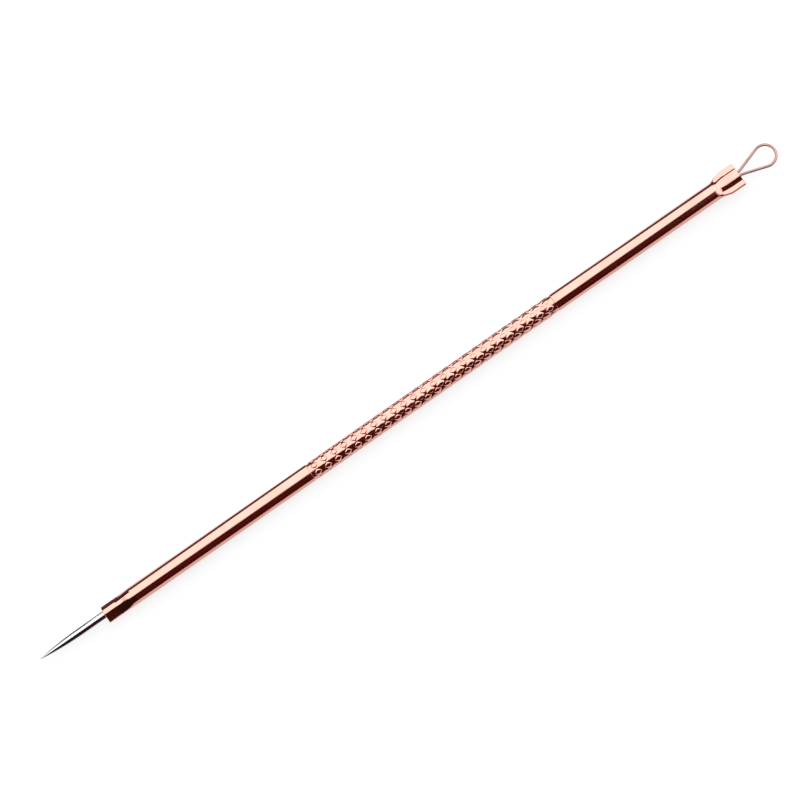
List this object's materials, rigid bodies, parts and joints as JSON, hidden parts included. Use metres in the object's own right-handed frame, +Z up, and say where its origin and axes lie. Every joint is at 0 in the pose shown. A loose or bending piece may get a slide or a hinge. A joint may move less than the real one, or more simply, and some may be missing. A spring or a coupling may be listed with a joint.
{
  "type": "blackhead extractor",
  "caption": "Slim double-ended blackhead extractor: tube handle with a grip of small diamonds, a sharp lancet needle pressed into one end and a wire loop pressed into the other.",
  "frame": {"origin": "on the surface that the tool lies on, under the middle of its length and of its width", "axes": "+X along the handle towards the wire loop, with the needle at -X; +Y across the level loop; +Z up"},
  "size_m": [0.122, 0.0036, 0.0026],
  "materials": {
    "rose_plate": "polished",
    "needle_steel": "polished",
    "rose_wire": "polished"
  },
  "bodies": {
    "root": {"handle_tube": "rose_plate", "lancet_needle": "needle_steel", "extractor_loop": "rose_wire"}
  },
  "joints": []
}
